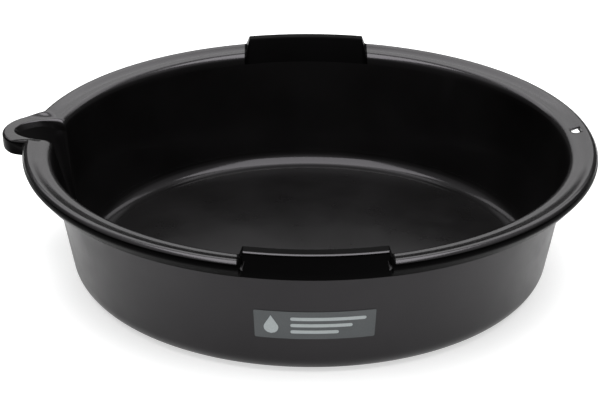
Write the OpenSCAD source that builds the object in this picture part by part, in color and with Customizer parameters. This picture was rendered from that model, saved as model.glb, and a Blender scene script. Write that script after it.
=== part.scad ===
// Round open oil drain pan: a moulded dish with a turned-down rim, a pouring
// spout, two raised hand grips, a hanging hole and a label on the front wall.
// Millimetres, +Z up, origin at the centre of the base's underside.
// The spout points along -X, the grips lie along -Y and +Y.

/* [Basin] */
// Outer radius where the straight wall would meet the ground
base_r = 162.2; // [150:0.1:168]
// Lean of the side wall away from vertical, degrees
draft = 10; // [6:0.5:10]
// Wall and floor thickness
wall_t = 2.2; // [1.8:0.1:2.6]
// Outer radius of the round between floor and wall
corner_r = 14; // [10:0.5:18]

/* [Rim] */
// Outer radius of the rim
rim_r = 195; // [194:0.5:200]
// Height of the rim above the ground
rim_h = 91.3; // [90:0.1:93]
// Fall of the flange towards the basin, degrees
flange_fall = 15; // [12:1:18]
// Radius of the rounded inner edge of the flange
edge_r = 6.5; // [5:0.5:7]
// Radius of the shoulder between flange and skirt
shoulder_r = 4; // [3:0.5:5]
// Inward lean of the skirt, degrees
skirt_lean = 40; // [36:1:42]
// Height of the skirt's lower edge above the ground
skirt_z = 78.7; // [78.2:0.1:79.2]

/* [Hand grips] */
// Height of the grip tops above the ground
grip_h = 97.5; // [96:0.5:100]
// Half length of a grip along its top
grip_half_top = 43.5; // [40:0.5:46]
// Half length of a grip at the flange
grip_half_foot = 45.8; // [45:0.1:48]
// Outer radius of the grip top
grip_out_r = 193; // [192:0.5:194]
// Inner radius of the grip top
grip_in_r = 184; // [182:0.5:185]
// Turn of both grips about the pan's axis, degrees
grip_turn = 1.2; // [0:0.1:3]

/* [Spout] */
// Direction of the spout about the pan's axis, degrees
spout_az = 174.4; // [174:0.1:178]
// Distance from the pan's axis to the tip of the lip
lip_reach = 214; // [213.5:0.1:215]
// Distance from the pan's axis to the widest place of the lip
lip_centre = 187; // [186.5:0.5:189]
// Half width of the lip
lip_half_w = 28.3; // [28:0.1:29]
// Height of the lip's upper face
lip_z = 88.5; // [88:0.1:89]
// Distance from the pan's axis to the foot of the channel
channel_u = 165; // [163:0.5:166]
// Height of the foot of the channel
channel_z = 28; // [24:0.5:34]
// Lean of the channel's axis away from vertical, degrees
channel_lean = 15.3; // [15:0.1:15.6]
// Half angle of the channel's cone, degrees
channel_half = 21; // [20.5:0.1:21.1]

/* [Hanging hole] */
// Radius of the hanging hole
hole_r = 4.7; // [4:0.1:4.8]
// Distance from the pan's axis to the hole
hole_at = 186; // [185:0.1:186.2]
// Direction of the hole about the pan's axis, degrees
hole_az = 6; // [0:0.5:10]
// Direction of the relief in the skirt that clears the hole, degrees
relief_az = 11.5; // [11:0.5:12]
// Width of the relief
relief_w = 27; // [25:1:30]
// Height of the relief's upper edge above the ground
relief_z = 84.5; // [84:0.1:84.6]

/* [Label] */
// Width of the label along the wall
label_w = 75; // [60:1:80]
// Height of the label
label_h = 20.6; // [16:0.1:24]
// Height of the label's middle above the ground
label_z = 37.8; // [35:0.1:45]

/* [Hidden] */

$fn = 180;
black = [0.035, 0.035, 0.038];
film_grey = [0.16, 0.18, 0.18];
print_grey = [0.45, 0.50, 0.50];
far = 260;
arc_steps = 8;
nose_step = 6;
belly_step = 15;
// Angle on the shoulder's arc where the flange ends and the skirt begins.
split_dir = 75;
channel_h = 90;
// Distance from the pan's axis where the lip, grip and label blocks begin.
block_root = 120;
film_t = 0.25;
print_t = 0.12;
grip_edge = 1.6;
// The label's mark: an oil drop at the left and three bars, each shorter than the last.
drop_r = label_h * 0.22;
drop_at = [-label_w * 0.36, -label_h * 0.1];
bar_w = label_w * 0.62;
bar_h = label_h * 0.12;
bar_from = -label_w * 0.2;
bar_loss = 0.18;

// A point at distance r and angle a from centre c.
function polar(c, r, a) = [c[0] + r * cos(a), c[1] + r * sin(a)];

// Points along an arc about c from angle a to angle b.
function arc(c, r, a, b) = [for (i = [0:arc_steps]) polar(c, r, a + (b - a) * i / arc_steps)];

// The same points in the opposite order.
function flip(pts) = [for (i = [len(pts) - 1:-1:0]) pts[i]];

// The point whose distances along the directions a and b are da and db.
function cross_at(a, da, b, db) =
    let (d = cos(a) * sin(b) - sin(a) * cos(b))
    [(da * sin(b) - db * sin(a)) / d, (db * cos(a) - da * cos(b)) / d];

// Radius of the wall's outer face at height z.
function wall_out(z) = base_r + z * tan(draft);

wall_in_dir = 180 - draft;
flange_dir = 90 + flange_fall;
corner_c = [wall_out(corner_r) - corner_r / cos(draft), corner_r];
shoulder_c = [rim_r - shoulder_r, rim_h - shoulder_r];
wall_in_d = -base_r * cos(draft) + wall_t;
flange_d = shoulder_c[0] * cos(flange_dir) + shoulder_c[1] * sin(flange_dir) + shoulder_r;
edge_c = cross_at(wall_in_dir, wall_in_d - edge_r, flange_dir, flange_d - edge_r);
wall_top_in = polar(edge_c, edge_r, wall_in_dir);
wall_top_out = polar(edge_c, edge_r - wall_t, wall_in_dir);
wall_foot_in = polar(corner_c, corner_r - wall_t, -draft);
wall_foot_out = polar(corner_c, corner_r, -draft);
skirt_top = polar(shoulder_c, shoulder_r, -skirt_lean);
skirt_foot_r = skirt_top[0] - (skirt_top[1] - skirt_z) * tan(skirt_lean);
skirt_t = wall_t / cos(skirt_lean);
lip_len = lip_reach - lip_centre;
hole_z = (flange_d - hole_at * cos(flange_dir)) / sin(flange_dir);

// The basin's hollow, from the floor up past the rim.
module hollow() {
    rotate_extrude()
        polygon(concat([[0, wall_t]], arc(corner_c, corner_r - wall_t, -90, -draft),
                       arc(edge_c, edge_r, wall_in_dir, flange_dir),
                       [polar(shoulder_c, shoulder_r, flange_dir)],
                       [[rim_r, far], [0, far]]));
}

// The channel's cone, grown outwards by g.
module channel(g) {
    grow = g / cos(channel_half);
    rotate([0, 0, spout_az])
        translate([channel_u, 0, channel_z])
            rotate([0, channel_lean, 0])
                translate([0, 0, -grow / tan(channel_half)])
                    cylinder(h = channel_h, r1 = 0, r2 = channel_h * tan(channel_half));
}

// Outline of the spout's lip, set in by g: straight sides and an elliptical nose.
module lip_outline(g) {
    nose = [for (a = [-90:nose_step:90])
        [lip_centre + (lip_len - g) * cos(a), (lip_half_w - g) * sin(a)]];
    polygon(concat([[block_root, -lip_half_w + g]], nose, [[block_root, lip_half_w - g]]));
}

// The lip's outline as a block between two heights.
module lip_block(g, low, high) {
    rotate([0, 0, spout_az])
        translate([0, 0, low])
            linear_extrude(high - low) lip_outline(g);
}

// A block that spans a grip: its ends lean in above the flange.
module grip_block(g, low, high) {
    foot = grip_half_foot - g;
    top = grip_half_top - g;
    rotate([90, 0, 0])
        translate([0, 0, block_root])
            linear_extrude(far - block_root)
                polygon([[-foot, low], [foot, low], [foot, lip_z], [top, high],
                         [-top, high], [-foot, lip_z]]);
}

// Section of a grip, set in by g: inner face, flat top and outer face.
module grip_section(g) {
    top = grip_h - g;
    polygon([[skirt_foot_r - g, skirt_z - g], [grip_out_r - g, top - grip_edge],
             [grip_out_r - g - grip_edge, top], [grip_in_r + g + grip_edge, top],
             [grip_in_r + g - grip_edge / 2, top - grip_edge],
             wall_top_in + [g, 0], [wall_top_in[0] + g, skirt_z - g]]);
}

// One grip lying along -Y: a box section that is open below.
module grip() {
    difference() {
        intersection() {
            rotate_extrude() grip_section(0);
            grip_block(0, skirt_z, grip_h);
        }
        intersection() {
            rotate_extrude() grip_section(wall_t);
            grip_block(wall_t, 0, grip_h + 1);
        }
        rotate_extrude()
            polygon([[0, 0], wall_foot_out, wall_top_out, wall_top_in, [0, wall_top_in[1]]]);
    }
}

// The space that both grips take out of the flange and the skirt.
module grip_gaps() {
    for (turn = [grip_turn, 180 + grip_turn])
        rotate([0, 0, turn])
            translate([-grip_half_foot, -far, 0])
                cube([2 * grip_half_foot, far - block_root, far]);
}

// A ring on the outer wall between two heights, from depth a to depth b off the wall.
module wall_skin(a, b, low, high) {
    rotate_extrude()
        polygon([[wall_out(low) + a, low], [wall_out(low) + b, low],
                 [wall_out(high) + b, high], [wall_out(high) + a, high]]);
}

// Places a flat drawing on the front wall, x along the wall and y up it.
module on_front() {
    rotate([0, 0, grip_turn])
        translate([0, -block_root, label_z])
            rotate([90, 0, 0])
                linear_extrude(far - block_root) children();
}

module basin_floor() {
    color(black) cylinder(h = wall_t, r = corner_c[0]);
}

module basin_corner() {
    color(black)
        rotate_extrude()
            polygon(concat(arc(corner_c, corner_r, -90, -draft),
                           flip(arc(corner_c, corner_r - wall_t, -90, -draft))));
}

module basin_wall() {
    color(black)
        difference() {
            rotate_extrude()
                polygon([wall_foot_out, wall_top_out, wall_top_in, wall_foot_in]);
            channel(wall_t);
        }
}

module rim_flange() {
    color(black)
        difference() {
            rotate_extrude()
                polygon(concat(arc(edge_c, edge_r, wall_in_dir, flange_dir),
                               arc(shoulder_c, shoulder_r, flange_dir, split_dir),
                               arc(shoulder_c, shoulder_r - wall_t, split_dir, flange_dir),
                               arc(edge_c, edge_r - wall_t, flange_dir, wall_in_dir)));
            channel(wall_t);
            lip_block(0, lip_z - wall_t, far);
            grip_gaps();
            rotate([0, 0, hole_az])
                translate([hole_at, 0, hole_z])
                    rotate([0, -flange_fall, 0])
                        cylinder(h = 8 * wall_t, r = hole_r, center = true);
        }
}

module rim_skirt() {
    color(black)
        difference() {
            rotate_extrude()
                polygon(concat(arc(shoulder_c, shoulder_r, split_dir, -skirt_lean),
                               [[skirt_foot_r, skirt_z], [skirt_foot_r - skirt_t, skirt_z]],
                               arc(shoulder_c, shoulder_r - wall_t, -skirt_lean, split_dir)));
            lip_block(0, 0, far);
            grip_gaps();
            rotate([0, 0, relief_az])
                translate([block_root, -relief_w / 2, 0])
                    cube([far, relief_w, relief_z]);
        }
}

module spout_channel() {
    color(black)
        difference() {
            channel(wall_t);
            channel(0);
            hollow();
            translate([-far, -far, lip_z - wall_t]) cube(2 * far);
        }
}

module spout_lip() {
    color(black) {
        difference() {
            lip_block(0, lip_z - wall_t, lip_z);
            channel(0);
            hollow();
        }
        difference() {
            lip_block(0, skirt_z, lip_z - wall_t);
            lip_block(wall_t, 0, far);
            cylinder(h = far, r = skirt_foot_r - skirt_t);
        }
    }
}

module front_grip() {
    color(black) rotate([0, 0, grip_turn]) grip();
}

module rear_grip() {
    color(black) rotate([0, 0, 180 + grip_turn]) grip();
}

module label_film() {
    color(film_grey)
        intersection() {
            wall_skin(0, film_t, label_z - label_h / 2, label_z + label_h / 2);
            on_front() square([label_w, 2 * label_h], center = true);
        }
}

// An oil drop: a round belly under a pointed top.
module drop_shape(r) {
    belly = [for (a = [150:belly_step:390]) [r * cos(a), r * sin(a)]];
    polygon(concat(belly, [[0, 2 * r]]));
}

module label_drop() {
    color(print_grey)
        intersection() {
            wall_skin(film_t, film_t + print_t, label_z - label_h / 2, label_z + label_h / 2);
            on_front() translate(drop_at) drop_shape(drop_r);
        }
}

module label_bars() {
    color(print_grey)
        intersection() {
            wall_skin(film_t, film_t + print_t, label_z - label_h / 2, label_z + label_h / 2);
            on_front()
                for (row = [-1:1])
                    translate([bar_from, (row * 2 - 0.5) * bar_h])
                        square([bar_w * (1 - bar_loss * (1 - row)), bar_h]);
        }
}

basin_floor();
basin_corner();
basin_wall();
rim_flange();
rim_skirt();
spout_channel();
spout_lip();
front_grip();
rear_grip();
label_film();
label_drop();
label_bars();
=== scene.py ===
import math

import bmesh
import bpy
import numpy as np
from mathutils import Matrix, Vector


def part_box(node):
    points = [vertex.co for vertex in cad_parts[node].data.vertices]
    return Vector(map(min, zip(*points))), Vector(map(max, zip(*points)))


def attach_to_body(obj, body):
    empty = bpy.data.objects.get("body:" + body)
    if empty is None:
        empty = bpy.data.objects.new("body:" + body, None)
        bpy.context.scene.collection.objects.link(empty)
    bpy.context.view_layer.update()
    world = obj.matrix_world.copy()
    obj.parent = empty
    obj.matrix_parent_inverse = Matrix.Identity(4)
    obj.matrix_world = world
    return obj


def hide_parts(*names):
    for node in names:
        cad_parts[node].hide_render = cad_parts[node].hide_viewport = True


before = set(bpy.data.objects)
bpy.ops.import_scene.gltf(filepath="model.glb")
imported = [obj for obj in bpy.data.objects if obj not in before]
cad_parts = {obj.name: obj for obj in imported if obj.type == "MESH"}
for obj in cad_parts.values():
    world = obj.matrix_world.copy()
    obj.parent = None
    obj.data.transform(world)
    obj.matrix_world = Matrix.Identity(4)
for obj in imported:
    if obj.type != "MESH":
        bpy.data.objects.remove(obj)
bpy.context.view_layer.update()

MM = 0.001


def low_mm(node):
    """The lowest corner of a CAD node's box, in millimetres."""
    return np.array(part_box(node)[0]) / MM


def high_mm(node):
    """The highest corner of a CAD node's box, in millimetres."""
    return np.array(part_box(node)[1]) / MM


# ---------------------------------------------------------------- dimensions, in millimetres
RIM_R = high_mm("rim_skirt")[0]           # outer radius of the rim
RIM_H = high_mm("rim_flange")[2]          # top of the rim's shoulder
SKIRT_Z = low_mm("rim_skirt")[2]          # lower edge of the skirt
GRIP_H = high_mm("front_grip")[2]         # top of the hand grips
LIP_Z = high_mm("spout_lip")[2]           # top of the spout's lip
FLOOR_R = high_mm("basin_floor")[0]       # where the floor's round begins
WALL_T = high_mm("basin_floor")[2]        # wall and floor thickness
CORNER_TOP = high_mm("basin_corner")[2]   # where the round meets the straight wall
CORNER_R = 14.0                           # outer radius of the round
DRAFT = 10.0                              # lean of the wall, degrees
BASE_R = 162.2                            # the wall's outer radius run down to the ground
FLANGE_FALL = 15.0                        # fall of the flange towards the basin, degrees
EDGE_R = 6.37                             # rounded inner edge of the flange
SHOULDER_R = 4.0                          # rounded outer edge of the flange
SKIRT_LEAN = 40.0                         # inward lean of the skirt, degrees
FOOT_ROUND = 0.9                          # rounding of the skirt's lower edge

GRIP_AZ = (-88.8, 91.2)                   # directions of the two grips, degrees
GRIP_IN_R = 184.0                         # inner radius of a grip's top
GRIP_OUT_R = 193.0                        # outer radius of a grip's top
GRIP_ROUND = 1.8                          # rounding of a grip's upper edges
GRIP_UNDER_ROUND = 0.8                    # the same on its underside
GRIP_SKIN = 0.8                           # thickness of a grip's inner side over the wall's
GRIP_FOOT = 45.8                          # half length of a grip at the flange
GRIP_TOP = 43.5                           # half length of a grip along its top

SPOUT_AZ = 174.4                          # direction of the spout, degrees
LIP_CENTRE = 187.0                        # from the axis to the widest place of the lip
LIP_REACH = 214.0                         # from the axis to the tip of the lip
LIP_HALF_W = 28.3                         # half width of the lip
CHANNEL_FOOT = 28.0                       # height where the spout's channel begins
CHANNEL_DEPTH = 0.5                       # how much deeper the channel gets per mm of height
CHANNEL_WIDTH = 0.3                       # how much its half width grows per mm of height
CHANNEL_SLOPE = 34.0                      # the channel's lean from vertical at its middle, degrees

HOLE_AZ = 6.0                             # direction of the hanging hole, degrees
HOLE_AT = 186.0                           # from the axis to the hole
HOLE_R = 4.7                              # radius of the hole
RELIEF_AZ = 11.5                          # middle of the skirt's relief behind the hole, degrees
RELIEF_W = 27.0                           # width of the relief
RELIEF_Z = 84.5                           # upper edge of the relief
RELIEF_LEFT = 0.05                        # share of the height below that edge that is left

LABEL_W = 75.0                            # width of the label along the wall
LABEL_H = high_mm("label_film")[2] - low_mm("label_film")[2]
LABEL_Z = (high_mm("label_film")[2] + low_mm("label_film")[2]) / 2
FILM_T = 0.22                             # thickness of the film
PRINT_T = 0.06                            # thickness of the print


# ---------------------------------------------------------------- plane geometry
def polar(centre, r, deg):
    """The point at radius r from the centre, in the given direction."""
    a = math.radians(deg)
    return np.array([centre[0] + r * math.cos(a), centre[1] + r * math.sin(a)])


def arc(centre, r, a, b, steps):
    """Points of an arc from direction a to direction b."""
    return np.array([polar(centre, r, a + (b - a) * i / steps) for i in range(steps + 1)])


def meet(p, u, q, v):
    """Where the line through p along u meets the line through q along v."""
    t = np.linalg.solve(np.array([u, -v]).T, q - p)
    return p + u * t[0]


def unit(v):
    """The vector v at length 1."""
    return v / np.linalg.norm(v)


CORNER_SHARE = 0.49                       # the most of a corner's side that its rounding may take


def fillet(p, corner, q, r, steps):
    """Points of the arc of radius r that rounds the corner between p and q."""
    u, v = unit(p - corner), unit(q - corner)
    half = math.acos(max(-1.0, min(1.0, float(u @ v)))) / 2
    reach = min(r / math.tan(half), CORNER_SHARE * np.linalg.norm(p - corner),
                CORNER_SHARE * np.linalg.norm(q - corner))
    r = reach * math.tan(half)
    centre = corner + unit(u + v) * r / math.sin(half)
    a, b = corner + u * reach - centre, corner + v * reach - centre
    sweep = math.atan2(a[0] * b[1] - a[1] * b[0], a @ b)
    start = math.atan2(a[1], a[0])
    turns = [start + sweep * i / steps for i in range(steps + 1)]
    return np.array([centre + r * np.array([math.cos(turn), math.sin(turn)]) for turn in turns])


def between(p, q, n):
    """n points spread evenly between p and q, without the ends."""
    return np.array([p + (q - p) * (i + 1) / (n + 1) for i in range(n)])


EDGE_STEPS = 8                            # steps round the flange's inner edge
BAND_STEPS = 4                            # rows on the flange between its rounded edges
SHOULDER_STEPS = 12                       # steps round the shoulder
SKIRT_STEPS = 2                           # rows down the skirt
FOOT_STEPS = 3                            # steps round the skirt's lower edge


def assemble(start, edge, band, shoulder, foot, end):
    """A rim section: from the wall, round the edge, over the band and shoulder, down to the foot."""
    skirt = between(shoulder[-1], foot[0], SKIRT_STEPS)
    return np.concatenate([[start], edge, band, shoulder, skirt, foot, [end]])


def section(start, inner, outer, foot, end, radii):
    """The same from corner points: each corner is rounded by its radius."""
    e = fillet(start, inner, outer, radii[0], EDGE_STEPS)
    s = fillet(inner, outer, foot, radii[1], SHOULDER_STEPS)
    f = fillet(outer, foot, end, radii[2], FOOT_STEPS)
    return assemble(start, e, between(e[-1], s[0], BAND_STEPS), s, f, end)


TAN = math.tan(math.radians(DRAFT))
SIN = math.sin(math.radians(DRAFT))
COS = math.cos(math.radians(DRAFT))


def wall_out(z):
    """Radius of the wall's outer face at height z."""
    return BASE_R + z * TAN


def wall_in(z):
    """Radius of the wall's inner face at height z."""
    return BASE_R + z * TAN - WALL_T / COS


# Points and directions of the plain rim: its shoulder, its skirt and the skirt's foot.
along_flange = np.array([1.0, math.tan(math.radians(FLANGE_FALL))])
down_skirt = np.array([math.tan(math.radians(SKIRT_LEAN)), 1.0])
shoulder_c = np.array([RIM_R - SHOULDER_R, RIM_H - SHOULDER_R])
flange_top = polar(shoulder_c, SHOULDER_R, 90 + FLANGE_FALL)
skirt_out = polar(shoulder_c, SHOULDER_R, -SKIRT_LEAN)
skirt_in = polar(shoulder_c, SHOULDER_R - WALL_T, -SKIRT_LEAN)
level = np.array([1.0, 0.0])
ground = np.array([0.0, SKIRT_Z])
foot_out = meet(skirt_out, down_skirt, ground, level)
foot_in = meet(skirt_in, down_skirt, ground, level)
foot_mid = (foot_out + foot_in) / 2

RIM_BASE = 81.0                           # height where the rim's section leaves the wall
SPOUT_BASE = 84.5                         # the same on the spout's channel
rim_start_in = np.array([wall_in(RIM_BASE), RIM_BASE])
rim_start_out = np.array([wall_out(RIM_BASE), RIM_BASE])

# The flange is dished: a round crest at its inner edge, then a face that steepens outwards.
EDGE_AT = 181.0                           # radius of the crest's arc centre
EDGE_TOP = 89.0                           # height of the crest
EDGE_FROM = 180.0 - DRAFT                 # direction on the crest's arc where it leaves the wall
EDGE_TO = 85.0                            # direction on the crest's arc where the dish begins
DISH_SHIFT = 0.25                         # how far the dish's underside is moved outwards
DISH = np.array([[182.7, 89.02], [184.5, 89.36], [186.4, 89.95], [188.3, 90.62]])
edge_c = np.array([EDGE_AT, EDGE_TOP - EDGE_R])


def round_foot(foot_start, foot_corner):
    """The rounded lower edge of the skirt, from one face to its middle."""
    return fillet(foot_start, foot_corner, foot_mid, FOOT_ROUND, FOOT_STEPS)


RIM_TOP = assemble(rim_start_in, arc(edge_c, EDGE_R, EDGE_FROM, EDGE_TO, EDGE_STEPS), DISH,
                   arc(shoulder_c, SHOULDER_R, 90 + FLANGE_FALL, -SKIRT_LEAN, SHOULDER_STEPS),
                   round_foot(skirt_out, foot_out), foot_mid)
RIM_UNDER = assemble(rim_start_out, arc(edge_c, EDGE_R - WALL_T, EDGE_FROM, EDGE_TO, EDGE_STEPS),
                     DISH + [DISH_SHIFT, -WALL_T],
                     arc(shoulder_c, SHOULDER_R - WALL_T, 90 + FLANGE_FALL, -SKIRT_LEAN, SHOULDER_STEPS),
                     round_foot(skirt_in, foot_in), foot_mid)


def relieved(rows):
    """The rim's section where the skirt is cut short behind the hanging hole."""
    rows = rows.copy()
    low = rows[:, 1] < RELIEF_Z
    low[:len(rows) // 2] = False
    stop = rows[low][0].copy()
    rows[low] = [stop[0], RELIEF_Z] + (rows[low] - stop) * RELIEF_LEFT
    return rows


grip_in_top = np.array([GRIP_IN_R, GRIP_H])
grip_out_top = np.array([GRIP_OUT_R, GRIP_H])
GRIP_SEC = section(rim_start_in, grip_in_top, grip_out_top, foot_out, foot_mid,
                   (GRIP_ROUND, GRIP_ROUND, FOOT_ROUND))
grip_in_under = np.array([GRIP_IN_R + WALL_T * GRIP_SKIN, GRIP_H - WALL_T])
grip_out_under = np.array([GRIP_OUT_R - WALL_T, GRIP_H - WALL_T])
GRIP_UNDER = section(rim_start_out, grip_in_under, grip_out_under, foot_in, foot_mid,
                     (GRIP_UNDER_ROUND, GRIP_UNDER_ROUND, FOOT_ROUND))

LIP_STEP = 0.4                            # how far the lip's foot stands in from its edge
CHANNEL_SKIN = 0.4                        # drop of the channel's outer face over the wall's thickness
LIP_ROUNDS = (1.6, 1.8, 0.9)              # roundings of the lip: inner edge, outer edge, foot
LIP_UNDER_ROUNDS = (0.8, 0.7, 0.9)        # the same on its underside


def spout_section(width, top):
    """The lip's section over a given width from the channel's face, seen from above or below."""
    slope = math.tan(math.radians(CHANNEL_SLOPE))
    skin = 0.0 if top else WALL_T
    start = np.array([0.0, SPOUT_BASE - skin * CHANNEL_SKIN])
    inner = np.array([(LIP_Z - skin - start[1]) * slope, LIP_Z - skin])
    outer = np.array([width - skin, LIP_Z - skin])
    foot = np.array([width - LIP_STEP - skin, SKIRT_Z])
    end = np.array([width - LIP_STEP - WALL_T / 2, SKIRT_Z])
    return section(start, inner, outer, foot, end, LIP_ROUNDS if top else LIP_UNDER_ROUNDS)


# ---------------------------------------------------------------- columns round the pan
def soft_step(t, soft=0.08):
    """Climbs from 0 to 1 as t does, with rounded ends."""
    return 0.5 * (math.hypot(t, soft) - math.hypot(t - 1, soft) + 1)


def smooth(t):
    """Climbs from 0 to 1 with level ends, and stays there."""
    t = max(0.0, min(1.0, t))
    return t * t * (3 - 2 * t)


SPOUT_ZONE = 14.0                         # half angle of the stretch that the spout shapes, degrees
INSIDE_STEPS = 72                         # columns round the channel
SIDE_STEPS = 16                           # columns on each side of it
REF_R = 185.0                             # radius where widths across a grip are measured
LEVELS = 24                               # rows up the wall
WALL_FIRST = 3.0                          # height of the first row above the corner
WALL_LAST = 2.0                           # height of the last even row below the rim

corner_c = np.array([FLOOR_R, CORNER_R])
FLOOR_RINGS = (7.0, 50.0, 95.0, 130.0, FLOOR_R - 1.0)
CORNER_STEPS = 12                         # steps round the corner between floor and wall
corner_in = arc(corner_c, CORNER_R - WALL_T, -90, -DRAFT, CORNER_STEPS)
corner_out = arc(corner_c, CORNER_R, -90, -DRAFT, CORNER_STEPS)


def wall_levels(low, high):
    """Heights up the wall: even rows, then one short row at the top."""
    even = np.linspace(low + WALL_FIRST, high - WALL_LAST, LEVELS - 2)
    return np.concatenate([even, [high]])


def ring_column(az):
    """Floor and corner points of one column, for both faces."""
    a = math.radians(az)
    flat = np.array([math.cos(a), math.sin(a)])
    inner = [(r, WALL_T) for r in FLOOR_RINGS] + [tuple(p) for p in corner_in]
    outer = [(r, 0.0) for r in FLOOR_RINGS] + [tuple(p) for p in corner_out]
    return ([np.array([*(flat * r), z]) for r, z in inner],
            [np.array([*(flat * r), z]) for r, z in outer])


def placed(r, z, centre, phi, parallel):
    """A point at radius r: phi degrees from the centre line, or parallel to it."""
    side = math.degrees(math.asin(REF_R * math.sin(math.radians(phi)) / r)) if parallel else phi
    a = math.radians(centre + phi + (side - phi) * parallel)
    return np.array([r * math.cos(a), r * math.sin(a), z])


def plain_column(centre, phi, grip_top=0.0, grip_under=0.0, parallel=0.0):
    """One column away from the spout, which may cross a hand grip."""
    inner, outer = ring_column(centre + phi)
    cut_short = abs(centre + phi - RELIEF_AZ) < math.degrees(RELIEF_W / 2 / RIM_R)
    for points, radius, low, top, grip, share in (
            (inner, wall_in, corner_in[-1][1], RIM_TOP, GRIP_SEC, grip_top),
            (outer, wall_out, corner_out[-1][1], RIM_UNDER, GRIP_UNDER, grip_under)):
        top = relieved(top) if cut_short else top
        heights = wall_levels(low, RIM_BASE)
        for z in heights[:-1]:
            rise = (z - low) / (RIM_BASE - low)
            points.append(placed(radius(z), z, centre, phi, parallel * rise ** 2))
        for r, z in top + (grip - top) * share:
            points.append(placed(r, z, centre, phi, parallel))
    return inner, outer


CHANNEL_SOFT = 4.0                        # how softly the channel begins
CHANNEL_FOOT_W = 4.5                      # half width of the channel at its foot
SKIN_FADE = 8.0                           # height either side of the foot over which the skin comes in
SKIN_DEPTH = 0.42                         # added depth of the outer face
SKIN_WIDTH = 2.4                          # added half width of the outer face


def channel_at(z, out):
    """Depth and half width of the channel at height z, on its inner or outer face."""
    climb = 0.5 * (z - CHANNEL_FOOT + math.hypot(z - CHANNEL_FOOT, CHANNEL_SOFT))
    grow = smooth((z - CHANNEL_FOOT + SKIN_FADE) / (2 * SKIN_FADE)) if out else 0.0
    half_w = math.hypot(CHANNEL_FOOT_W, CHANNEL_WIDTH * climb) + SKIN_WIDTH * grow
    return CHANNEL_DEPTH * climb + SKIN_DEPTH * grow, half_w


def spout_plan(t, z, out):
    """Plan point at height z. t runs -1..1 round the channel and on to -2..2 along the wall."""
    deep, half_w = channel_at(z, out)
    r = wall_out(z) if out else wall_in(z)
    side = math.copysign(1.0, t)
    if abs(t) <= 1:
        v = half_w * math.sin(t * math.pi / 2)
        return np.array([math.sqrt(r * r - v * v) + deep * math.cos(t * math.pi / 2), v])
    edge = math.asin(half_w / r)
    a = side * (edge + (math.radians(SPOUT_ZONE) - edge) * (abs(t) - 1))
    return np.array([r * math.cos(a), r * math.sin(a)])


LIP_LEAVE = 79.0                          # where the lip's ellipse meets the rim's circle, degrees


def lip_plan(t):
    """Plan point on the outermost line of the lip and the rim beside it."""
    lip_len = LIP_REACH - LIP_CENTRE
    if abs(t) <= 1:
        b = math.radians(LIP_LEAVE * t)
        return np.array([LIP_CENTRE + lip_len * math.cos(b), LIP_HALF_W * math.sin(b)])
    b = math.radians(LIP_LEAVE)
    edge = math.atan2(LIP_HALF_W * math.sin(b), LIP_CENTRE + lip_len * math.cos(b))
    a = math.copysign(edge + (math.radians(SPOUT_ZONE) - edge) * (abs(t) - 1), t)
    return np.array([RIM_R * math.cos(a), RIM_R * math.sin(a)])


EASE_SPAN = 0.35                          # stretch of t either side of a channel edge that is rounded
OUTLINE_PASSES = (5, 14)                  # rounding passes over the lip, near side and far side
WALL_PASSES = (8, 3)                      # the same over the wall
LIP_BLEND = 0.4                           # stretch of t over which the rim turns into the lip
SPOUT_TO = 1.4                            # the t up to which a column belongs to the spout


def eased(rows, ts, near_passes, far_passes):
    """Rounds the rows of plan points across the two edges of the channel."""
    rows = np.array(rows)
    for side, passes in ((-1, far_passes), (1, near_passes)):
        near = np.array([abs(t - side) < EASE_SPAN for t in ts])
        near[0] = near[-1] = False
        for _ in range(passes):
            mean = (np.roll(rows, 1, 0) + 2 * rows + np.roll(rows, -1, 0)) / 4
            rows[near] = mean[near]
    return rows


def spout_columns():
    """All columns of the spout's stretch, from the far side round to the near side."""
    side = [1 + i / SIDE_STEPS for i in range(SIDE_STEPS, 0, -1)]
    inside = [-1 + 2 * i / INSIDE_STEPS for i in range(INSIDE_STEPS + 1)]
    ts = [-t for t in side] + inside + side[::-1]
    outline = eased([lip_plan(t) for t in ts], ts, *OUTLINE_PASSES)
    turn = math.radians(SPOUT_AZ)
    spin = np.array([[math.cos(turn), -math.sin(turn)], [math.sin(turn), math.cos(turn)]])
    faces = []
    for out in (False, True):
        low = (corner_out if out else corner_in)[-1][1]
        plain = RIM_UNDER if out else RIM_TOP
        reach = plain[:, 0].max() - plain[0, 0] + (WALL_T if out else 0.0)
        rows, bases = [], []
        for t in ts:
            share = smooth((1.0 - abs(t)) / LIP_BLEND)
            base = RIM_BASE + (SPOUT_BASE - (WALL_T * CHANNEL_SKIN if out else 0.0) - RIM_BASE) * share
            heights = wall_levels(low, base)
            rows.append([spout_plan(t, z, out) for z in heights])
            bases.append((share, heights))
        rows = eased(rows, ts, *WALL_PASSES)
        columns = []
        for t, row, (share, heights), end in zip(ts, rows, bases, outline):
            along = end - row[-1]
            width = np.linalg.norm(along)
            rim = (plain - [plain[0, 0], 0]) * [width / reach, 1]
            lip = spout_section(width, not out)
            points = [np.array([*(spin @ p), z]) for p, z in zip(row[:-1], heights[:-1])]
            for s, z in rim + (lip - rim) * share:
                points.append(np.array([*(spin @ (row[-1] + along / width * s)), z]))
            columns.append(points)
        faces.append(columns)
    result = []
    for t, inner, outer in zip(ts, faces[0], faces[1]):
        low_plan = spout_plan(t, CORNER_TOP, False)
        az = SPOUT_AZ + math.degrees(math.atan2(low_plan[1], low_plan[0]))
        ring_in, ring_out = ring_column(az)
        result.append((ring_in + inner, ring_out + outer))
    return ts, result


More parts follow.
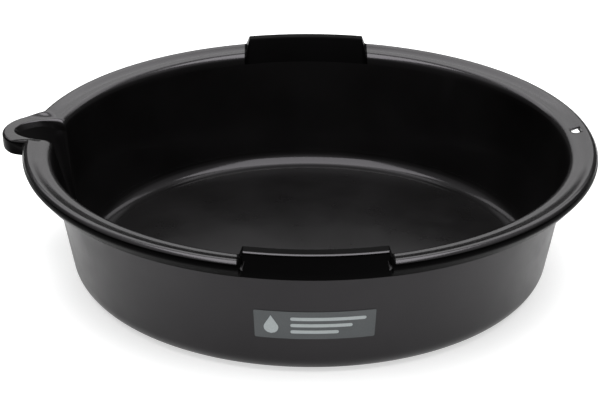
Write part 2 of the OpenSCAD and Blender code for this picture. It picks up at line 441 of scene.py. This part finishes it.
END_FROM, END_GAP, END_COLUMNS = 1.6, 0.3, 18
MIDDLE_GAP, MIDDLE_COLUMNS = 4.2, 10
BESIDE_FROM, BESIDE_GAP, BESIDE_COLUMNS = 4.0, 3.3, 7
GRIP_MARGIN = 1.31                        # how far past a grip's foot its own piece runs
FLAT_FROM = 1.0                           # where the columns beside a grip begin to fan out
FLAT_FADE = 18.0                          # length over which they do
COLUMN_STEP = 1.2                         # degrees between the columns of the plain rim


def grip_positions():
    """Side positions of the columns across a grip, closest together over its ends."""
    beside = [GRIP_FOOT + BESIDE_FROM + BESIDE_GAP * i for i in range(BESIDE_COLUMNS - 1, -1, -1)]
    ends = [GRIP_FOOT + END_FROM - END_GAP * i for i in range(END_COLUMNS)]
    middle = [i * MIDDLE_GAP for i in range(MIDDLE_COLUMNS - 1, -1, -1)]
    half = beside + ends + middle
    return [-x for x in half] + half[-2::-1]


def grip_span(name, centre):
    """The columns over and beside a grip, as (centre, kind, phi, rise, rise of the underside, flatness)."""
    span = []
    for x in grip_positions():
        phi = math.degrees(math.asin(x / REF_R))
        rise = soft_step((GRIP_FOOT - abs(x)) / (GRIP_FOOT - GRIP_TOP))
        rise_under = soft_step((GRIP_FOOT - WALL_T - abs(x)) / (GRIP_FOOT - GRIP_TOP))
        flat = 1 - smooth((abs(x) - GRIP_FOOT - FLAT_FROM) / FLAT_FADE)
        kind = name if abs(x) <= GRIP_FOOT + GRIP_MARGIN else "rim"
        span.append((centre, kind, phi, rise, rise_under, flat))
    return span


def all_columns():
    """Every column in order, each as (kind, phi, inner points, outer points)."""
    cols = []
    for t, (inner, outer) in zip(*spout_columns()):
        cols.append(("spout" if abs(t) < SPOUT_TO else "rim", 0.0, inner, outer))
    spans = [grip_span(name, centre) for name, centre in zip(("front_grip", "rear_grip"), GRIP_AZ)]
    ends = [span[i][0] + span[i][2] for span in spans for i in (0, -1)]
    edges = [SPOUT_AZ + SPOUT_ZONE - 360, *ends, SPOUT_AZ - SPOUT_ZONE]
    for start, end, span in zip(edges[::2], edges[1::2], (*spans, [])):
        n = int(round((end - start) / COLUMN_STEP))
        for i in range(1, n):
            cols.append(("rim", 0.0, *plain_column(start + (end - start) * i / n, 0.0)))
        for centre, kind, phi, rise, rise_under, flat in span:
            cols.append((kind, phi, *plain_column(centre, phi, rise, rise_under, flat)))
    return cols


# ---------------------------------------------------------------- the shell and its pieces
ROWS_UNDER_CHANNEL = 4                    # rows of the wall below the channel's piece
ROWS_TO_SIDE = 7                          # rows of the shoulder until it faces sideways
ROWS_TO_GRIP_EDGE = 2                     # rows of the shoulder on a grip's flat top
GRIP_END = GRIP_TOP + 0.6                 # side position where a grip's end begins
# The third slot takes painted shade: a darker, nearly unreflecting copy of the plastic.
INSIDE, OUTSIDE, SHADED_SIDEWAYS = 0, 1, 2       # material slots of a shell piece
SHELL_SHARP = 32                          # edges sharper than these angles stay hard, degrees
PLAIN_SHARP = 30
LABEL_SHARP = 40

columns = all_columns()
kinds = [c[0] for c in columns]
phis = [c[1] for c in columns]
INNER = np.array([c[2] for c in columns])
OUTER = np.array([c[3] for c in columns])
N_COL, N_ROW = INNER.shape[:2]
row_floor = len(FLOOR_RINGS) - 1
row_corner = row_floor + CORNER_STEPS + 2
row_channel = row_corner + ROWS_UNDER_CHANNEL
row_rim = N_ROW - len(RIM_TOP)
row_skirt = row_rim + 1 + EDGE_STEPS + BAND_STEPS
row_side = row_skirt + ROWS_TO_SIDE
row_grip_top = row_skirt + ROWS_TO_GRIP_EDGE


def piece_cells(name):
    """Which cells of the shell belong to a piece."""
    cells = np.zeros((N_COL, N_ROW - 1), bool)
    for j in range(N_COL):
        here = {kinds[j], kinds[(j + 1) % N_COL]}
        kind = "rim" if here == {"rim"} or len(here) > 1 else here.pop()
        for i in range(N_ROW - 1):
            if i < row_floor:
                owner = "floor"
            elif i < row_corner:
                owner = "corner"
            elif i < row_rim:
                owner = "channel" if kind == "spout" and i >= row_channel else "wall"
            elif kind == "spout":
                owner = "lip"
            elif kind != "rim":
                owner = kind
            else:
                owner = "flange" if i < row_skirt else "skirt"
            cells[j, i] = owner == name
    return cells


def shell_piece(name, cells, materials):
    """A closed mesh of the shell between its inner and outer faces over some cells."""
    bm = bmesh.new()
    verts = {}

    def vert(side, j, i):
        """The vertex of column j and row i on the inner (0) or outer (1) face."""
        j %= N_COL
        if i == N_ROW - 1:
            side = 0
        if (side, j, i) not in verts:
            p = (INNER, OUTER)[side][j, i]
            verts[side, j, i] = bm.verts.new(Vector(p) * MM)
        return verts[side, j, i]

    def face(corners, slot):
        """A face of the given material slot, unless its corners fall together."""
        made = list(dict.fromkeys(corners))
        if len(made) > 2:
            bm.faces.new(made).material_index = slot

    for j, i in zip(*np.nonzero(cells)):
        # Faces past the shoulder's turn, and a grip's inner side, top and ends, take the third slot: the
        # darker plastic with painted shade.
        end_on = REF_R * math.sin(math.radians(abs(phis[j]))) > GRIP_END
        side = i >= row_side or (name.endswith("grip") and (end_on or i < row_grip_top))
        face([vert(0, j, i), vert(0, j + 1, i), vert(0, j + 1, i + 1), vert(0, j, i + 1)],
             SHADED_SIDEWAYS if side and len(materials) > SHADED_SIDEWAYS else INSIDE)
        face([vert(1, j, i), vert(1, j, i + 1), vert(1, j + 1, i + 1), vert(1, j + 1, i)], OUTSIDE)
        if not cells[(j - 1) % N_COL, i]:
            face([vert(0, j, i), vert(0, j, i + 1), vert(1, j, i + 1), vert(1, j, i)], OUTSIDE)
        if not cells[(j + 1) % N_COL, i]:
            face([vert(0, j + 1, i + 1), vert(0, j + 1, i), vert(1, j + 1, i), vert(1, j + 1, i + 1)],
                 OUTSIDE)
        if i > 0 and not cells[j, i - 1]:
            face([vert(0, j + 1, i), vert(0, j, i), vert(1, j, i), vert(1, j + 1, i)], OUTSIDE)
        if i < N_ROW - 2 and not cells[j, i + 1]:
            face([vert(0, j, i + 1), vert(0, j + 1, i + 1), vert(1, j + 1, i + 1), vert(1, j, i + 1)],
                 OUTSIDE)
    if cells[0, 0]:
        face([vert(0, j, 0) for j in range(N_COL - 1, -1, -1)], INSIDE)
        face([vert(1, j, 0) for j in range(N_COL)], OUTSIDE)
    bmesh.ops.recalc_face_normals(bm, faces=bm.faces)
    return finish_mesh(name, bm, materials, SHELL_SHARP)


def finish_mesh(name, bm, materials, sharp_deg):
    """Turns a bmesh into an object, smooth except over edges sharper than the angle."""
    for f in bm.faces:
        f.smooth = True
    for e in bm.edges:
        if len(e.link_faces) == 2:
            e.smooth = e.calc_face_angle(0.0) < math.radians(sharp_deg)
    mesh = bpy.data.meshes.new(name)
    bm.to_mesh(mesh)
    bm.free()
    for m in materials:
        mesh.materials.append(m)
    obj = bpy.data.objects.new(name, mesh)
    bpy.context.scene.collection.objects.link(obj)
    return obj


# ---------------------------------------------------------------- materials
# Each noise as (features per metre, detail) with its roughness where that is not even.
DRIFT = (9, 4)
SMUDGE = (24, 6, 0.6)
FLOW = (14, 2)
GRAIN = (900, 3)
INK = (1800, 3)
FILM_SHEEN = (60, 3)
FILM_GRAIN = (2500, 2)
GROUND = (6, 3)
NOISE_LOW, NOISE_HIGH = 0.35, 0.65        # the part of a noise's values that is put to use
FLOW_HEIGHT, GRAIN_HEIGHT, FILM_HEIGHT = 0.002, 0.00015, 0.00005
FILM_BUMP = 0.15
FILM_SPREAD, GROUND_SPREAD = 0.06, 0.05   # how far roughness strays from its middle
PLASTIC_IOR = 1.5
DARK_TINT, LIGHT_TINT = (1.08, 1, 1), (1.05, 1, 1.02)
SPECULAR_TINT = (0.98, 0.94, 1.0, 1)


def new_material(name):
    """A new material with its nodes, links and shader."""
    mat = bpy.data.materials.new(name)
    mat.use_nodes = True
    nodes = mat.node_tree.nodes
    return mat, nodes, mat.node_tree.links, nodes["Principled BSDF"]


def noise(nodes, links, scale, detail, rough=0.5):
    """A noise texture in object space, in features per metre."""
    where = nodes.new("ShaderNodeTexCoord").outputs["Object"]
    tex = nodes.new("ShaderNodeTexNoise")
    tex.inputs["Scale"].default_value = scale
    tex.inputs["Detail"].default_value = detail
    tex.inputs["Roughness"].default_value = rough
    links.new(where, tex.inputs["Vector"])
    return tex.outputs["Fac"]


def spread(nodes, links, value, low, high):
    """Maps a noise value into a range."""
    node = nodes.new("ShaderNodeMapRange")
    node.inputs["From Min"].default_value = NOISE_LOW
    node.inputs["From Max"].default_value = NOISE_HIGH
    node.inputs["To Min"].default_value = low
    node.inputs["To Max"].default_value = high
    links.new(value, node.inputs["Value"])
    return node.outputs["Result"]


def add_bump(nodes, links, shader, heights):
    """Chains bumps, each given as (height output, strength, distance in metres)."""
    last = None
    for height, strength, distance in heights:
        bump = nodes.new("ShaderNodeBump")
        bump.inputs["Strength"].default_value = strength
        bump.inputs["Distance"].default_value = distance
        links.new(height, bump.inputs["Height"])
        if last:
            links.new(last, bump.inputs["Normal"])
        last = bump.outputs["Normal"]
    links.new(last, shader.inputs["Normal"])


def mottle(nodes, links, shader, value, dark, light):
    """Gives the shader a colour that drifts between two colours with a noise value."""
    mix = nodes.new("ShaderNodeMix")
    mix.data_type = "RGBA"
    mix.inputs["A"].default_value = (*dark, 1)
    mix.inputs["B"].default_value = (*light, 1)
    links.new(spread(nodes, links, value, 0, 1), mix.inputs["Factor"])
    links.new(mix.outputs["Result"], shader.inputs["Base Color"])


def plastic(name, rough_low, rough_high, wave, grain, dark=0.002, light=0.005, shine=0.5):
    """Black moulded plastic: faint colour drift, smudged gloss, flow waves and fine grain."""
    mat, nodes, links, shader = new_material(name)
    mottle(nodes, links, shader, noise(nodes, links, *DRIFT),
           [dark * t for t in DARK_TINT], [light * t for t in LIGHT_TINT])
    smudge = noise(nodes, links, *SMUDGE)
    links.new(spread(nodes, links, smudge, rough_low, rough_high), shader.inputs["Roughness"])
    shader.inputs["IOR"].default_value = PLASTIC_IOR
    shader.inputs["Specular IOR Level"].default_value = shine
    shader.inputs["Specular Tint"].default_value = SPECULAR_TINT
    add_bump(nodes, links, shader,
             [(noise(nodes, links, *FLOW), wave, FLOW_HEIGHT),
              (noise(nodes, links, *GRAIN), grain, GRAIN_HEIGHT)])
    return mat


# The moulding's finishes, and one darker copy with painted shade: roughness low and high, flow waves,
# grain, dark and light base, shine.
gloss_black = plastic("gloss_black_plastic", 0.10, 0.18, 0.05, 0.10, shine=0.3)
floor_black = plastic("floor_black_plastic", 0.26, 0.36, 0.06, 0.20, shine=0.17)
rim_black = plastic("rim_black_plastic", 0.14, 0.22, 0.03, 0.12)
# A darker, almost unreflecting copy of the rim's plastic for the faces that turn sideways or down and for
# most of the grips: painted shade standing in for the dark reflections those faces show, since the floor
# here is pale.
shade_painted_side_black = plastic("painted_shade_side_plastic", 0.20, 0.30, 0.03, 0.15, 0.0006, 0.0012, shine=0.01)
satin_black = plastic("satin_black_plastic", 0.30, 0.40, 0.04, 0.30, 0.004, 0.009, 0.26)


def label_material(name, colour, rough, flecks):
    """Printed film: even colour with faint ink mottling and a fine matt grain."""
    mat, nodes, links, shader = new_material(name)
    mottle(nodes, links, shader, noise(nodes, links, *INK),
           [c * (1 - flecks) for c in colour], [c * (1 + flecks) for c in colour])
    sheen = spread(nodes, links, noise(nodes, links, *FILM_SHEEN), rough - FILM_SPREAD, rough + FILM_SPREAD)
    links.new(sheen, shader.inputs["Roughness"])
    add_bump(nodes, links, shader, [(noise(nodes, links, *FILM_GRAIN), FILM_BUMP, FILM_HEIGHT)])
    return mat


film_mat = label_material("label_film", (0.046, 0.052, 0.055), 0.45, 0.10)
print_mat = label_material("label_print", (0.33, 0.36, 0.365), 0.50, 0.08)


# ---------------------------------------------------------------- pieces of the moulding
# Each piece as (name, cells, CAD node, materials inside, outside and sideways); the sideways one, where
# given, is the darker plastic with painted shade.
PIECES = (
    ("pan_floor", "floor", "basin_floor", (floor_black, satin_black)),
    ("pan_corner", "corner", "basin_corner", (gloss_black, satin_black)),
    ("pan_wall", "wall", "basin_wall", (gloss_black, satin_black)),
    ("pan_flange", "flange", "rim_flange", (rim_black, satin_black)),
    ("pan_skirt", "skirt", "rim_skirt", (rim_black, satin_black, shade_painted_side_black)),
    ("pan_spout_channel", "channel", "spout_channel", (gloss_black, satin_black)),
    ("pan_spout_lip", "lip", "spout_lip", (rim_black, satin_black, shade_painted_side_black)),
    ("pan_front_grip", "front_grip", "front_grip", (rim_black, satin_black, shade_painted_side_black)),
    ("pan_rear_grip", "rear_grip", "rear_grip", (rim_black, satin_black, shade_painted_side_black)),
)


HOLE_SIDES = 48
# The cutter's rings from below to above the flange, as (radius, height over the flange).
HOLE_RINGS = ((HOLE_R + 2.2, -6.0), (HOLE_R + 0.9, -WALL_T - 0.3), (HOLE_R + 0.15, -WALL_T + 1.1),
              (HOLE_R, -0.5), (HOLE_R + 0.35, 0.15), (HOLE_R + 1.0, 3.0))


def hole_cutter():
    """A round cutter square to the flange, flared where it breaks through each face."""
    bm = bmesh.new()
    turns = [2 * math.pi * k / HOLE_SIDES for k in range(HOLE_SIDES)]
    grid = [[bm.verts.new((r * math.cos(turn), r * math.sin(turn), z)) for turn in turns]
            for r, z in HOLE_RINGS]
    for a, b in zip(grid, grid[1:]):
        for k in range(HOLE_SIDES):
            bm.faces.new((a[k], a[(k + 1) % HOLE_SIDES], b[(k + 1) % HOLE_SIDES], b[k]))
    bm.faces.new(grid[0][::-1])
    bm.faces.new(grid[-1])
    top = flange_top + along_flange * (HOLE_AT - flange_top[0])
    place = (Matrix.Rotation(math.radians(HOLE_AZ), 4, "Z")
             @ Matrix.Translation((HOLE_AT * MM, 0, top[1] * MM))
             @ Matrix.Rotation(math.radians(-FLANGE_FALL), 4, "Y")
             @ Matrix.Scale(MM, 4))
    bmesh.ops.transform(bm, matrix=place, verts=bm.verts)
    return finish_mesh("hole_cutter", bm, [], PLAIN_SHARP)


def cut(obj, cutter):
    """Subtracts the cutter from the object for good, and removes the cutter."""
    mod = obj.modifiers.new("cut", "BOOLEAN")
    mod.operation = "DIFFERENCE"
    mod.solver = "EXACT"
    mod.object = cutter
    graph = bpy.context.evaluated_depsgraph_get()
    made = bpy.data.meshes.new_from_object(obj.evaluated_get(graph))
    obj.modifiers.clear()
    obj.data = made
    bpy.data.objects.remove(cutter)


for piece_name, cells_name, node, mats in PIECES:
    piece = shell_piece(piece_name, piece_cells(cells_name), mats)
    if cells_name == "flange":
        cut(piece, hole_cutter())
    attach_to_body(piece, "root")
    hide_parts(node)


# ---------------------------------------------------------------- the label
FILM_ROUND = 1.0                          # radius of the film's corners
FILM_CELLS, DROP_CELLS, BAR_CELLS = (75, 21), (12, 24), (48, 6)
# The mark, in shares of the label's width and height.
DROP_X, DROP_Y, DROP_R = -0.36, -0.1, 0.22
DROP_TIP = 0.02                           # half width of the drop's tip over its radius
BAR_LEFT, BAR_LENGTH, BAR_HEIGHT = -0.2, 0.62, 0.12
BAR_SHRINK = 0.18                         # how much shorter each lower bar is
BAR_ROUND = 0.45                          # rounding of a bar's corners over its height


def on_wall(x, y, h):
    """A point on the front wall: x along it, y up its slope from the label's middle, h off it."""
    z = LABEL_Z + y * COS - h * SIN
    r = wall_out(LABEL_Z + y * COS) + h * COS
    a = math.radians(GRIP_AZ[0]) + x / wall_out(LABEL_Z)
    return Vector((r * math.cos(a), r * math.sin(a), z)) * MM


def wrapped_slab(name, grid, low, high, material):
    """A thin slab over a grid of label points, from height low to high off the wall."""
    bm = bmesh.new()
    under = [[bm.verts.new(on_wall(x, y, low)) for x, y in row] for row in grid]
    over = [[bm.verts.new(on_wall(x, y, high)) for x, y in row] for row in grid]
    rows, cols = len(grid), len(grid[0])
    for j in range(rows - 1):
        for i in range(cols - 1):
            bm.faces.new((over[j][i], over[j][i + 1], over[j + 1][i + 1], over[j + 1][i]))
            bm.faces.new((under[j][i], under[j + 1][i], under[j + 1][i + 1], under[j][i + 1]))
    there = [(0, i) for i in range(cols)] + [(j, cols - 1) for j in range(1, rows)]
    back = [(rows - 1, i) for i in range(cols - 2, -1, -1)] + [(j, 0) for j in range(rows - 2, 0, -1)]
    rim = there + back
    for (j0, i0), (j1, i1) in zip(rim, rim[1:] + rim[:1]):
        bm.faces.new((under[j0][i0], under[j1][i1], over[j1][i1], over[j0][i0]))
    bmesh.ops.recalc_face_normals(bm, faces=bm.faces)
    return finish_mesh(name, bm, [material], LABEL_SHARP)


def round_rect(cx, cy, w, h, r, nx, ny):
    """A grid over a rectangle whose corners are pulled in to radius r."""
    grid = []
    for j in range(ny + 1):
        row = []
        for i in range(nx + 1):
            x, y = w * (i / nx - 0.5), h * (j / ny - 0.5)
            ax, ay = abs(x) - (w / 2 - r), abs(y) - (h / 2 - r)
            if ax > 0 and ay > 0 and math.hypot(ax, ay) > r:
                k = r / math.hypot(ax, ay)
                x = math.copysign(w / 2 - r + ax * k, x)
                y = math.copysign(h / 2 - r + ay * k, y)
            row.append((cx + x, cy + y))
        grid.append(row)
    return grid


def drop_grid(cx, cy, r, across, up):
    """A grid over an oil drop: a round belly under a pointed top."""
    grid = []
    for j in range(up + 1):
        y = -r + 3 * r * (j / up)
        half = math.sqrt(max(0.0, r * r - y * y)) if y < r / 2 else (2 * r - y) / math.sqrt(3)
        half = max(half, DROP_TIP * r)
        grid.append([(cx + half * (2 * i / across - 1), cy + y) for i in range(across + 1)])
    return grid


def attach(obj, node):
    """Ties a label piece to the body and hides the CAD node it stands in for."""
    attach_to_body(obj, "root")
    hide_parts(node)


film_grid = round_rect(0, 0, LABEL_W, LABEL_H / COS, FILM_ROUND, *FILM_CELLS)
film = wrapped_slab("label_film_piece", film_grid, 0.0, FILM_T, film_mat)
attach(film, "label_film")
mark_grid = drop_grid(LABEL_W * DROP_X, LABEL_H * DROP_Y, LABEL_H * DROP_R, *DROP_CELLS)
drop = wrapped_slab("label_drop_mark", mark_grid, FILM_T, FILM_T + PRINT_T, print_mat)
attach(drop, "label_drop")

bar_h = LABEL_H * BAR_HEIGHT
for row in (-1, 0, 1):
    bar_w = LABEL_W * BAR_LENGTH * (1 - BAR_SHRINK * (1 - row))
    middle = (LABEL_W * BAR_LEFT + bar_w / 2, row * 2 * bar_h)
    bar_grid = round_rect(*middle, bar_w, bar_h, bar_h * BAR_ROUND, *BAR_CELLS)
    bar = wrapped_slab(f"label_bar_{row + 2}", bar_grid, FILM_T, FILM_T + PRINT_T, print_mat)
    attach(bar, "label_bars")


# ---------------------------------------------------------------- floor, light and camera
FLOOR_GREY = (0.62, 0.62, 0.62, 1)
FLOOR_ROUGH = 0.8
FLOOR_GLOW = 0.6                          # lifts the floor to a near white with a faint contact shadow
FLOOR_HALF = 4.0                          # half of the floor's width, in metres
FLOOR_DROP = 0.0003                       # gap that keeps the floor clear of the base, in metres


def add_floor():
    """A pale floor under the pan."""
    mat, nodes, links, shader = new_material("pale_floor")
    shader.inputs["Base Color"].default_value = FLOOR_GREY
    patchy = noise(nodes, links, *GROUND)
    rough = spread(nodes, links, patchy, FLOOR_ROUGH - GROUND_SPREAD, FLOOR_ROUGH + GROUND_SPREAD)
    links.new(rough, shader.inputs["Roughness"])
    shader.inputs["Emission Color"].default_value = (1, 1, 1, 1)
    shader.inputs["Emission Strength"].default_value = FLOOR_GLOW
    bm = bmesh.new()
    bmesh.ops.create_grid(bm, x_segments=1, y_segments=1, size=FLOOR_HALF)
    bmesh.ops.translate(bm, vec=(0, 0, -FLOOR_DROP), verts=bm.verts)
    floor = finish_mesh("studio_floor", bm, [mat], PLAIN_SHARP)


# The studio's grey against height, each as (place on the ramp, level).
WORLD_LOW, WORLD_HIGH = (0.02, 0.04), (0.90, 0.8)
WORLD_BETWEEN = ((0.46, 0.10), (0.62, 0.5))


def grey(level):
    """An even colour of the given level."""
    return (level, level, level, 1)


def add_world():
    """A grey studio that is dark at the horizon, so that only the softboxes show in the gloss."""
    world = bpy.data.worlds.new("studio")
    bpy.context.scene.world = world
    world.use_nodes = True
    nodes, links = world.node_tree.nodes, world.node_tree.links
    back = nodes["Background"]
    split = nodes.new("ShaderNodeSeparateXYZ")
    links.new(nodes.new("ShaderNodeTexCoord").outputs["Generated"], split.inputs["Vector"])
    ramp = nodes.new("ShaderNodeValToRGB")
    stops = ramp.color_ramp.elements
    for stop, (place, level) in ((stops[0], WORLD_LOW), (stops[1], WORLD_HIGH)):
        stop.position = place
        stop.color = grey(level)
    for place, level in WORLD_BETWEEN:
        stops.new(place).color = grey(level)
    links.new(split.outputs["Z"], ramp.inputs["Fac"])
    links.new(ramp.outputs["Color"], back.inputs["Color"])
    back.inputs["Strength"].default_value = 1.0


def add_area(name, place, aim, size, radiance):
    """A rectangular softbox of the given radiance."""
    data = bpy.data.lights.new(name, "AREA")
    data.shape = "RECTANGLE"
    data.size, data.size_y = size
    data.energy = radiance * size[0] * size[1] * math.pi
    lamp = bpy.data.objects.new(name, data)
    lamp.location = place
    lamp.rotation_euler = (Vector(aim) - Vector(place)).to_track_quat("-Z", "Y").to_euler()
    bpy.context.scene.collection.objects.link(lamp)


CAMERA_BACK = 1.1515                      # metres in front of the pan's axis
CAMERA_UP = 0.5784                        # metres above the ground
CAMERA_PITCH = 0.4345                     # radians below level
CAMERA_YAW = -0.0059                      # radians to the right
CAMERA_ROLL = 0.0029                      # radians
CAMERA_FOCUS = 1831 / 600                 # focal length over the frame's width


SENSOR_WIDTH = 36.0                       # millimetres


def add_camera():
    """The camera, aimed and rolled by its angles."""
    data = bpy.data.cameras.new("camera")
    data.sensor_width = SENSOR_WIDTH
    data.lens = CAMERA_FOCUS * SENSOR_WIDTH
    cam = bpy.data.objects.new("camera", data)
    forward = Vector((math.sin(CAMERA_YAW) * math.cos(CAMERA_PITCH),
                      math.cos(CAMERA_YAW) * math.cos(CAMERA_PITCH), -math.sin(CAMERA_PITCH)))
    right = forward.cross(Vector((0, 0, 1))).normalized()
    up = right.cross(forward)
    rolled_right = right * math.cos(CAMERA_ROLL) + up * math.sin(CAMERA_ROLL)
    rolled_up = up * math.cos(CAMERA_ROLL) - right * math.sin(CAMERA_ROLL)
    turn = Matrix((rolled_right, rolled_up, -forward)).transposed().to_4x4()
    cam.matrix_world = Matrix.Translation((0, -CAMERA_BACK, CAMERA_UP)) @ turn
    bpy.context.scene.collection.objects.link(cam)
    bpy.context.scene.camera = cam


add_floor()
add_world()
add_area("overhead_softbox", (0, -0.35, 1.8), (0, -0.35, 0), (2.0, 1.9), 4.5)
add_area("rear_softbox", (0, 2.2, 2.2), (0, 0, 0.1), (4.5, 1.2), 1.5)
add_area("low_softbox", (0, 2.6, 1.25), (0, 0, 0.1), (1.7, 1.0), 1.05)
add_camera()
bpy.context.scene.view_settings.view_transform = "Standard"
